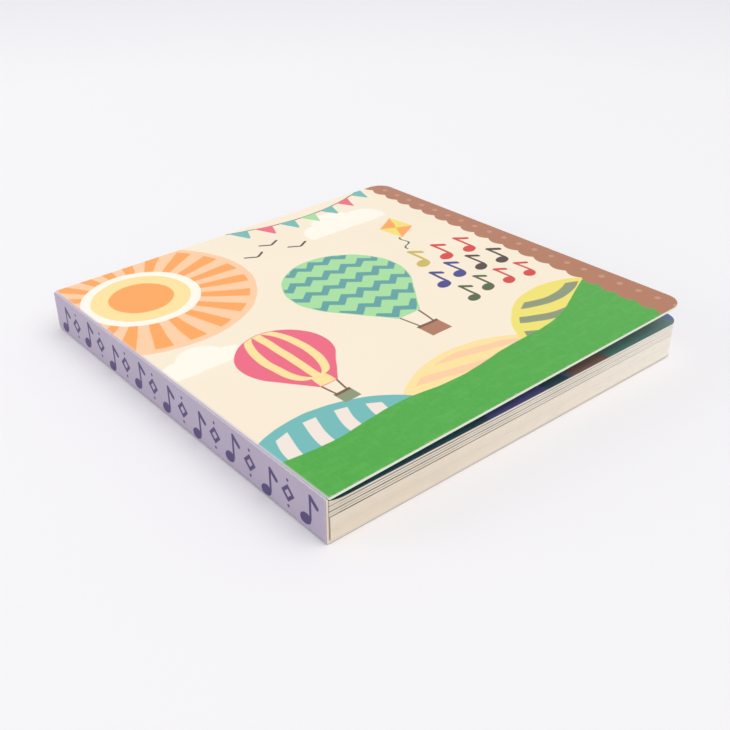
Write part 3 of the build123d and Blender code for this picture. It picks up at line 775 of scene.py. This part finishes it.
# %% Night
page_board = Finish("page_board_printed")
x, y, z = page_board.axes()
page = Sheet(page_board, paper_tone(page_board, rgb(58, 74, 112), 0.08))
glow = between(length(x - 40.0, y - 30.0), 110.0, 20.0)
page.tint(rgb(122, 126, 158), glow * 0.8)
for centre, radii, colour in (
    ((-46.0, -108.0), (70.0, 62.0), rgb(44, 78, 92)),
    ((88.0, -104.0), (44.0, 58.0), rgb(84, 104, 158)),
    ((56.0, -110.0), (34.0, 48.0), rgb(84, 126, 120)),
    ((33.0, -106.0), (12.0, 34.0), rgb(122, 96, 90)),
    ((-6.0, -106.0), (17.0, 34.0), rgb(76, 80, 134)),
):
    page.lay(colour, oval(x, y, centre, radii))
moon = disc(x, y, (-30.0, 38.0), 20.0)
page.lay(rgb(246, 232, 180), moon)
for centre, radius in (((-36.0, 44.0), 4.5), ((-24.0, 30.0), 3.2)):
    page.lay(rgb(232, 214, 158), disc(x, y, centre, radius))
u, _ = row(x + y * 0.21, pitch=23.0, first=-3, last=3)
v, _ = row(y - x * 0.33, pitch=26.0, first=-1, last=3)
stars = high(abs(u) * abs(v) * 2.2 + length(u, v) - 2.1, 8.0 - moon)
page.tint(rgb(250, 240, 205), spot(stars) * spot(-30.0 - y))
page.tell("night")

# %% Marks over the buttons
button_x, button_y = middle_mm("button_4")
button_pitch = button_y - middle_mm("button_3")[1]
mark_radius, mark_rim = 7.6, 1.4
v, number = row(y - button_y, button_pitch, first=-3, last=2)
button_mark = length(x - button_x, v) - mark_radius
page.lay(rgb(248, 236, 212), button_mark - mark_rim)
page.lay(orange, button_mark)
page.tint(teal, spot(button_mark) * odd(number))
page.lay(cloud_white, note(x - button_x, v, size=8.5))
page.tell("marks over the buttons")

# %% [markdown]
# ## The leaves' edges
# The cut edges of the leaves are cream fibre, painted paler towards the fore edge as painted
# light.
# At each slit lies a thin dark line, a painted shadow of the gap, stronger near the spine and
# fading towards the fore edge, and the faces inside the slits get painted shade too. The slits
# themselves are true gaps in the solid. The line could be left to their real shadow, but a soft
# studio light fills a gap of a tenth of a millimetre, so the shadow is painted as well.

# %% Edges of the leaves
leaf_pitch = 1.02
first_slit = core_top + 0.3
leaf_depth, leaf_number = row(z - first_slit, leaf_pitch, first=0, last=5)
cut_edge = ply_edge(
    page_board, leaf_depth,
    pale=rgb(240, 230, 213), dark=rgb(226, 214, 195), plies=2.0, breadth=leaf_pitch,
)
leaves = Sheet(page_board, cut_edge)
distant = between(x, -50.0, 75.0)
# Painted light: the edges paler towards the fore edge
leaves.tint(rgb(249, 243, 233), distant * 0.7)

# Painted shadow: a dark line at each slit, fainter on every other leaf and towards the fore edge
painted_slit_shadow = spot(outline(leaf_depth - 0.08, breadth=0.4), softness=0.1)
line = painted_slit_shadow * (1.0 - odd(leaf_number) * 0.7)
fading = between(page_board.noise(0.055, 2.0, stretch=(1.0, 1.0, 9.0)), 0.36, 0.6)
leaves.tint(rgb(74, 66, 58), line * (0.5 + fading * 0.5) * (1.0 - distant * 0.85))
touch = between(page_board.noise(0.06, 3.0), 0.42, 0.7)
leaves.tint(rgb(198, 186, 166), touch * (0.3 - distant * 0.2))

upward = page_board.facing((0.0, 0.0, 1.0))
top_margin = 0.3
in_slit = looking(abs(upward), least=0.7) * spot(z - page_top + top_margin)
on_top = looking(upward, least=0.7) * spot(page_top - top_margin - z)
# Painted shade on the faces inside the slits, dark near the spine and pale towards the fore edge
leaves.tint(page_board.mix(rgb(88, 82, 76), rgb(238, 230, 218), distant), in_slit)
leaves.tint(page.colour, on_top)
page_board.set(Base_Color=leaves.colour, Roughness=0.72 - on_top * 0.3)
fibres = page_board.noise(1.6, 3.0, stretch=(0.3, 0.3, 4.0))
page_board.set(Normal=page_board.bump(fibres * (1.0 - on_top), depth_mm=0.05))
leaves.tell("leaves")

# %% [markdown]
# ## The core block
# Behind the leaves lies a thick block of grey-cream board, glued from sheets. It is rougher than
# the leaves, with long fibres, smudges from hands and a faint line of glue at half its height.
# Noise that is squeezed flat gives the fibres, which a plain noise would turn into spots.

# %% Core block
core_board = Finish("core_board_greyboard")
x, _, z = core_board.axes()
depth = z - wrap_board
cut_edge = ply_edge(
    core_board, depth,
    pale=rgb(242, 229, 211), dark=rgb(231, 216, 195), plies=1.2, breadth=core_top,
)
core = Sheet(core_board, cut_edge)
# Painted light: the block paler towards the fore edge
core.tint(rgb(252, 246, 236), between(x, -60.0, 90.0) * 0.8)
fine = between(core_board.noise(0.9, 4.0, stretch=(0.16, 0.16, 6.0)), 0.52, 0.66)
core.tint(rgb(206, 192, 170), fine * 0.3)
smudge = between(core_board.noise(0.05, 3.0), 0.5, 0.72)
core.tint(rgb(204, 192, 172), smudge * 0.25)
glue = spot(outline(depth - 4.3, breadth=0.12), softness=0.07)
core.tint(rgb(196, 182, 160), glue * 0.35)
core_board.set(Base_Color=core.colour, Roughness=0.78)
fibres = core_board.noise(1.2, 4.0, stretch=(0.3, 0.3, 5.0))
core_board.set(Normal=core_board.bump(fibres, depth_mm=0.08))
core.tell("block")

# %% [markdown]
# ## Moulded plastics
# The sound module is hidden until the door is off or the lid is up, but it is looked at from the
# back through the door's seam, the switch's window and the speaker's holes. A moulded piece has
# the fine grain of its steel mould, a slow drift in tone and some dust. One recipe with a few
# numbers makes all of them, the rubber, the resin and the wires' sleeves too.

# %% Moulded plastics
def moulded(name, colour, roughness, grain_mm=0.35):
    """A moulded plastic: spark-eroded grain, a slow drift in tone and a little dust."""
    finish = Finish(name)
    grain = finish.noise(1 / grain_mm, 2.0)
    drift = between(finish.noise(0.08, 3.0), 0.35, 0.65)
    dust = between(finish.noise(0.4, 5.0, roughness=0.7), 0.62, 0.8)
    skin = Sheet(finish, finish.mix(colour, black, 0.1))
    skin.tint(colour, drift)
    skin.tint(rgb(206, 202, 198), dust * 0.12)
    finish.set(Base_Color=skin.colour, Roughness=grain * 0.08 + roughness)
    finish.set(Normal=finish.bump(grain, depth_mm=0.02))
    return finish.material


finish_of_slot = {
    "housing_plastic": moulded("housing_plastic_moulded", rgb(226, 226, 222), 0.42),
    "door_plastic": moulded("door_plastic_moulded", rgb(214, 213, 210), 0.4),
    "button_plastic": moulded("button_plastic_moulded", rgb(240, 238, 232), 0.3),
    "knob_plastic": moulded("knob_plastic_moulded", rgb(34, 34, 38), 0.35, 0.25),
    "switch_case": moulded("switch_case_moulded", rgb(52, 53, 58), 0.45, 0.25),
    "chip_resin": moulded("chip_resin_poured", rgb(26, 26, 29), 0.42, 1.6),
    "mat_rubber": moulded("mat_rubber_pressed", rgb(92, 96, 104), 0.62, 0.5),
    "magnet_ferrite": moulded("magnet_ferrite_sintered", rgb(58, 57, 58), 0.55, 0.3),
    "wire_red": moulded("wire_red_sleeve", rgb(196, 38, 36), 0.36, 0.6),
    "wire_black": moulded("wire_black_sleeve", rgb(26, 26, 28), 0.36, 0.6),
}
print(len(finish_of_slot), "moulded finishes")

# %% [markdown]
# ## Metals
# The screws, the cells and the contacts are bright steel under a thin plating, brushed along one
# way, and the speaker's basket is drawn round, so its lines are rings. A plain mirror would be
# quicker to make, but it looks like a drawing, so fine lines and dull stains break the sheen.

# %% Metals
def metal(name, colour, roughness, centre=None):
    """A bright metal with fine lines, straight or in rings round a centre."""
    finish = Finish(name, Metallic=1.0)
    if centre:
        x, y, _ = finish.axes()
        out = length(x - centre[0], y - centre[1])
        rings = out * 9.0 + finish.noise(0.8, 3.0) * 2.0
        lines = sine(rings) * 0.5 + 0.5
    else:
        lines = finish.noise(6.0, 3.0, stretch=(1.0, 0.12, 1.0))
    stain = between(finish.noise(0.3, 4.0, roughness=0.65), 0.5, 0.8)
    tone = finish.mix(colour, rgb(120, 112, 104), stain * 0.3)
    finish.set(Base_Color=tone, Roughness=lines * 0.1 + stain * 0.15 + roughness)
    finish.set(Normal=finish.bump(lines, depth_mm=0.004))
    return finish.material


metals = {
    "cell_steel": metal("cell_steel_pressed", rgb(206, 206, 210), 0.2),
    "screw_steel": metal("screw_steel_plated", rgb(158, 158, 164), 0.26),
    "contact_metal": metal("contact_metal_plated", rgb(214, 208, 192), 0.24),
    "speaker_steel": metal("speaker_steel_pressed", rgb(176, 178, 182), 0.3, speaker_centre),
}
finish_of_slot.update(metals)
print(len(metals), "metals")

# %% [markdown]
# ## The speaker's cone
# The cone is pressed paper pulp, dark grey and dull, with fine ribs round it and a smoother cap
# in the middle. The ribs could be turned into the mesh, but they are a tenth of a millimetre
# deep and seen only through the holes, so a bump is enough.

# %% Speaker cone
cone_finish = Finish("cone_paper_pressed")
x, y, _ = cone_finish.axes()
out = length(x - speaker_x, y - speaker_y)
pulp = cone_finish.noise(1.8, 5.0, roughness=0.65)
rib_waves, cap_radius = 5.2, 4.0
rib = sine(out * rib_waves) * 0.5 + 0.5
cap = spot(out - cap_radius, 0.2)
paper = cone_finish.mix(rgb(46, 44, 42), rgb(74, 70, 66), between(pulp, 0.3, 0.7))
cone = Sheet(cone_finish, paper)
cone.tint(rgb(30, 29, 29), cap * 0.7)
cone_finish.set(Base_Color=cone.colour, Roughness=0.86 - cap * 0.3)
cone_finish.set(Normal=cone_finish.bump(rib * 0.6 + pulp * 0.4, depth_mm=0.12))
cone.tell("cone")

# %% [markdown]
# ## Circuit board
# A thin laminate with a green mask over copper. Tracks run from the six key pads to the chip,
# and every pad under a button is a pair of combs. Tracks are slightly raised and paler than the
# mask between them. They could be cut into the mesh, but they are as thin as foil, so a pattern
# on the board's own coordinates gives them.

# %% Tracks and pads
laminate = Finish("circuit_laminate_masked")
x, y, _ = laminate.axes()
chip_x, chip_y = middle_mm("sound_chip")
bus_x = button_x - 5.2
u, _ = row(x - bus_x + 1.3, pitch=0.9, first=0, last=3)
bus = high(abs(u) - 0.2, abs(x - bus_x) - 1.7)
v, _ = row(y - chip_y, pitch=1.5, first=-3, last=3)
fan = high(abs(v) - 0.28, abs(x - bus_x + 7.2) - 6.0, abs(y - chip_y) - 5.5)
tracks = spot(low(bus, fan), 0.06)

v, _ = row(y - button_y, button_pitch, first=-3, last=2)
pad_radius, comb_waves = 2.2, 7.0
on_pad = spot(length(x - button_x, v) - pad_radius, 0.08)
comb = share(sine(x * comb_waves) * 4.0 + 0.5)
cloudy = between(laminate.noise(0.3, 3.0), 0.4, 0.6)
mask = Sheet(laminate, laminate.mix(rgb(28, 92, 62), rgb(36, 108, 72), cloudy))
mask.tint(rgb(62, 140, 92), tracks)
mask.tint(laminate.mix(rgb(30, 30, 32), rgb(214, 178, 104), comb), on_pad)
mask.tell("tracks and pads")

# %% Circuit laminate
glass = between(laminate.noise(1.5, 3.0), 0.4, 0.6)
board = Sheet(laminate, laminate.mix(rgb(178, 170, 118), rgb(150, 144, 100), glass))
flat = looking(abs(laminate.facing((0.0, 0.0, 1.0))))
board.tint(mask.colour, flat)
laminate.set(Base_Color=board.colour, Roughness=0.5 - on_pad * 0.2)
laminate.set(Metallic=on_pad * comb * flat, Normal=laminate.bump(tracks, depth_mm=0.04))
board.tell("laminate")

# %% [markdown]
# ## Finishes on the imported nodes
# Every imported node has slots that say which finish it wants. A new material could be put on each
# by hand, but a table from slot to finish can't miss one: an unknown slot stops the script.

# %% Finishes on the nodes
finish_of_slot.update({
    "printed_board": wrap_print.material,
    "cover_print": cover_print.material,
    "page_board": page_board.material,
    "core_board": core_board.material,
    "cone_paper": cone_finish.material,
    "circuit_laminate": laminate.material,
})
for node in nodes.values():
    for place in node.material_slots:
        slot_name = place.material.name.split(".")[0]
        place.material = finish_of_slot[slot_name]
print(len(nodes), "nodes in", len(finish_of_slot), "finishes")

# %% [markdown]
# ## Small pieces on the module
# A black gauze keeps dust out of the speaker, drops of solder hold the wires, and four small
# parts sit on the board beside the chip. They are too small to matter for motion and plain in
# shape, so a few mesh operators make each of them here rather than in the solid model. Their
# places go into the mesh, so every object stays at the origin and moves with the book.

# %% Helpers for small pieces
def mm(*values):
    """Millimetres as a vector in metres."""
    return Vector([value / to_mm for value in values])


def object_from(name, mesh, material):
    """Turns a bmesh into an object at the origin, with its material."""
    data = bpy.data.meshes.new(name)
    mesh.to_mesh(data)
    mesh.free()
    data.materials.append(material)
    made = bpy.data.objects.new(name, data)
    bpy.context.scene.collection.objects.link(made)
    return made


def piece(name, mesh, material):
    """A piece that rides on the book, with the finish it is given."""
    bmesh.ops.recalc_face_normals(mesh, faces=mesh.faces)
    made = object_from(name, mesh, material)
    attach(made, "book")
    print(name, "with", len(made.data.polygons), "faces")


print("helpers ready")

# %% [markdown]
# ## Speaker gauze
# The gauze is a round of woven cloth glued behind the speaker's holes. Modelling its threads
# would take a hundred thousand faces. A thin disc does, with two crossing sine waves as the
# weave in its colour and bump.

# %% Speaker gauze
gauze_radius, gauze_thickness, gauze_height = 12.0, 0.1, 1.06
gauze_mesh = bmesh.new()
bmesh.ops.create_circle(gauze_mesh, cap_ends=True, radius=gauze_radius / to_mm, segments=64)
lifted = bmesh.ops.extrude_face_region(gauze_mesh, geom=gauze_mesh.faces[:])
raised = [item for item in lifted["geom"] if isinstance(item, bmesh.types.BMVert)]
bmesh.ops.translate(gauze_mesh, verts=raised, vec=mm(0, 0, gauze_thickness))
seat = mm(speaker_x, speaker_y, gauze_height)
bmesh.ops.translate(gauze_mesh, verts=gauze_mesh.verts[:], vec=seat)

gauze_finish = Finish("gauze_woven", Roughness=0.9)
x, y, _ = gauze_finish.axes()
thread_waves = 14.0
weave = abs(sine(x * thread_waves)) * abs(sine(y * thread_waves))
gauze_finish.set(Base_Color=gauze_finish.mix(rgb(52, 52, 56), rgb(14, 14, 16), weave))
gauze_finish.set(Normal=gauze_finish.bump(weave, depth_mm=0.08))
piece("speaker_gauze", gauze_mesh, gauze_finish.material)

# %% [markdown]
# ## Solder
# Each wire ends in a drop of solder on the board. A drop that cools is a low round cap, so a
# ball is pressed flat, cut off just above the board and closed. Its place is measured on the
# wire's own mesh: the end that lies nearest to the chip.

# %% Ends of the wires
chip_low, chip_high = box_mm("sound_chip")
chip_centre = (Vector(chip_low) + Vector(chip_high)) / 2


def wire_end(name, tip_length=0.5):
    """The middle of the end that a wire has on the circuit board."""
    points = [vertex.co * to_mm for vertex in nodes[name].data.vertices]
    reach = min((point - chip_centre).length for point in points)
    limit = reach + tip_length
    tip = [point for point in points if (point - chip_centre).length < limit]
    return sum(tip, Vector()) / len(tip)


wires = ("battery_wire", "speaker_wire_red", "speaker_wire_black")
wire_ends = [wire_end(name) for name in wires]
print("wires end at", [(round(end.x, 1), round(end.y, 1)) for end in wire_ends])

# %% Solder drops
circuit_top = box_mm("circuit_board")[1][2]
seat_gap = 0.02


def drop(mesh, place, radius, height):
    """A ball pressed flat, with its middle at the place."""
    made = bmesh.ops.create_uvsphere(mesh, u_segments=20, v_segments=12, radius=radius / to_mm)
    bmesh.ops.scale(mesh, verts=made["verts"], vec=(1.0, 1.0, height / radius))
    bmesh.ops.translate(mesh, verts=made["verts"], vec=mm(*place))


solder_mesh = bmesh.new()
for end in wire_ends:
    drop(solder_mesh, (end.x, end.y, circuit_top + 0.1), radius=1.05, height=0.85)
bmesh.ops.bisect_plane(
    solder_mesh,
    geom=solder_mesh.verts[:] + solder_mesh.edges[:] + solder_mesh.faces[:],
    plane_co=mm(0, 0, circuit_top + seat_gap),
    plane_no=(0, 0, 1),
    clear_inner=True,
)
cut_edges = [edge for edge in solder_mesh.edges if edge.is_boundary]
bmesh.ops.holes_fill(solder_mesh, edges=cut_edges)
solder = metal("solder_tin", rgb(206, 208, 212), 0.22)
piece("solder_drops", solder_mesh, solder)

# %% [markdown]
# ## Small parts beside the chip
# Two resistors and two capacitors are small ceramic blocks with a metal cap at each end. Cubes
# are scaled to their sizes and get a fine bevel, since a sharp edge never catches the light. The
# caps are part of the finish: it turns to metal near the ends.

# %% Small parts
resistor_x, capacitor_y = chip_x + 5.2, chip_y - 6.0
resistor_size, capacitor_size = (2.0, 1.25, 0.6), (1.3, 2.0, 0.7)
parts_mesh = bmesh.new()
for place, size in (
    ((resistor_x, chip_y + 5.5), resistor_size),
    ((resistor_x, chip_y + 2.0), resistor_size),
    ((resistor_x + 0.4, capacitor_y), capacitor_size),
    ((resistor_x + 4.4, capacitor_y), capacitor_size),
):
    made = bmesh.ops.create_cube(parts_mesh, size=1.0)
    bmesh.ops.scale(parts_mesh, verts=made["verts"], vec=mm(*size))
    height = circuit_top + seat_gap + size[2] / 2
    bmesh.ops.translate(parts_mesh, verts=made["verts"], vec=mm(*place, height))
bmesh.ops.bevel(
    parts_mesh,
    geom=parts_mesh.edges[:],
    offset=0.1 / to_mm,
    affect="EDGES",
    segments=2,
    profile=0.5,
    material=-1,
)
print(len(parts_mesh.faces), "faces on four parts")

# %% Ceramic with metal caps
ceramic = Finish("ceramic_parts", Roughness=0.45)
x, y, _ = ceramic.axes()
above_capacitors = chip_y - 3.0
ceramic_reach, cap_reach = 0.55, 0.62
caps = high(
    between(abs(x - resistor_x), ceramic_reach, cap_reach) * spot(above_capacitors - y),
    between(abs(y - capacitor_y), ceramic_reach, cap_reach) * spot(y - above_capacitors),
)
fired = between(ceramic.noise(2.5, 3.0), 0.4, 0.6)
body = Sheet(ceramic, ceramic.mix(rgb(120, 92, 66), rgb(150, 118, 86), fired))
body.tint(rgb(208, 208, 212), caps)
ceramic.set(Base_Color=body.colour, Metallic=caps)
ceramic.set(Normal=ceramic.bump(ceramic.noise(4.0, 2.0), depth_mm=0.01))
piece("small_board_parts", parts_mesh, ceramic.material)

# %% [markdown]
# ## Floor
# In a studio the book lies on a sheet of pale paper that sweeps up behind it, so no corner
# shows. From above, a flat floor does the same. Its tone changes a little with the distance from
# the book, as the light falls off there. It lies a hair below, so the two never share a plane.

# %% Floor
floor_half_m, floor_gap = 6.0, 0.05
floor_mesh = bmesh.new()
bmesh.ops.create_grid(floor_mesh, x_segments=2, y_segments=2, size=floor_half_m)
bmesh.ops.translate(floor_mesh, verts=floor_mesh.verts[:], vec=mm(0, 0, -floor_gap))

paper_sweep = Finish("paper_sweep", Roughness=0.9, Specular_IOR_Level=0.1)
x, y, _ = paper_sweep.axes()
away = length(x, y)
sweep = Sheet(paper_sweep, rgb(243, 242, 245))
sweep.tint(rgb(227, 226, 233), between(away, 500.0, 1300.0))
sweep.tint(rgb(238, 237, 242), between(away, 1500.0, 3600.0))
paper_sweep.set(Base_Color=sweep.colour)
floor = object_from("floor", floor_mesh, paper_sweep.material)
print("floor of", 2 * floor_half_m, "m")

# %% [markdown]
# ## Light
# The light is soft and comes from all round, with a faint shadow at the book's foot. Many lamps
# could do that. A world at a plain level is simpler and gives most of the light, so colours come
# out as they are written, and one broad sun from above the foot of the book gives the sides
# their shape. The camera and mirrors see a paler world than the one that lights, so the
# background is pale without more light on the book.

# %% World
world_level = 0.65
world = bpy.data.worlds.new("studio")
bpy.context.scene.world = world
world.use_nodes = True
studio = NodeTree(world.node_tree)
lighting = studio.node(
    "ShaderNodeBackground",
    sockets={"Color": (1.0, 0.995, 0.99, 1.0), "Strength": world_level},
)
seen = studio.node("ShaderNodeBackground", sockets={"Color": rgb(241, 240, 244)})
rays_of = studio.node("ShaderNodeLightPath").outputs
kinds = ("Is Camera Ray", "Is Glossy Ray", "Is Transmission Ray")
is_seen = high(*[Value(studio, rays_of[kind]) for kind in kinds])
choice = studio.node(
    "ShaderNodeMixShader",
    sockets={"Fac": is_seen, "Shader": lighting.outputs[0], "Shader_001": seen.outputs[0]},
)
studio.node("ShaderNodeOutputWorld", sockets={"Surface": choice.outputs[0]})
print("world at", world_level)

# %% Lamps
def lamp(name, kind, energy, towards):
    """A lamp that shines from a direction onto the book."""
    data = bpy.data.lights.new(name, kind)
    data.energy = energy
    made = bpy.data.objects.new(name, data)
    made.rotation_mode = "QUATERNION"
    made.rotation_quaternion = Vector(towards).to_track_quat("Z", "Y")
    bpy.context.scene.collection.objects.link(made)
    print(name, "at", energy)
    return made


key = lamp("key", "SUN", energy=1.18, towards=(0.16, -0.42, 1.0))
key.data.angle = math.radians(60)
fill_place = (-1.25, 0.75, 0.55)
fill = lamp("fill", "AREA", energy=2.8, towards=fill_place)
fill.location = fill_place
fill.data.shape = "DISK"
fill.data.size = 0.6

# %% [markdown]
# ## Camera
# The picture is taken over the near corner of the spine, from about 30 degrees above the table.
# A camera could be placed by eye, but these numbers were fitted to the corners of a real book's
# picture, so lens, distance and angle belong together. Its direction comes from two angles and
# a hair of roll.

# %% Camera
yaw, pitch, roll = math.radians(40.58), math.radians(30.21), math.radians(0.065)
eye = (-0.22102, -0.26044, 0.18702)
camera_data = bpy.data.cameras.new("camera")
camera_data.lens = 46.526
camera_data.sensor_width = 36.0
camera_data.clip_start = 0.01
camera = bpy.data.objects.new("camera", camera_data)
level = math.cos(pitch)
forward = Vector((level * math.sin(yaw), level * math.cos(yaw), -math.sin(pitch)))
look = forward.to_track_quat("-Z", "Y").to_matrix().to_4x4()
camera.matrix_world = Matrix.Translation(eye) @ look @ Matrix.Rotation(roll, 4, "Z")
bpy.context.scene.collection.objects.link(camera)
bpy.context.scene.camera = camera
bpy.context.scene.view_settings.view_transform = "Standard"
print("lens", camera_data.lens, "mm, distance", round(Vector(eye).length, 3), "m")
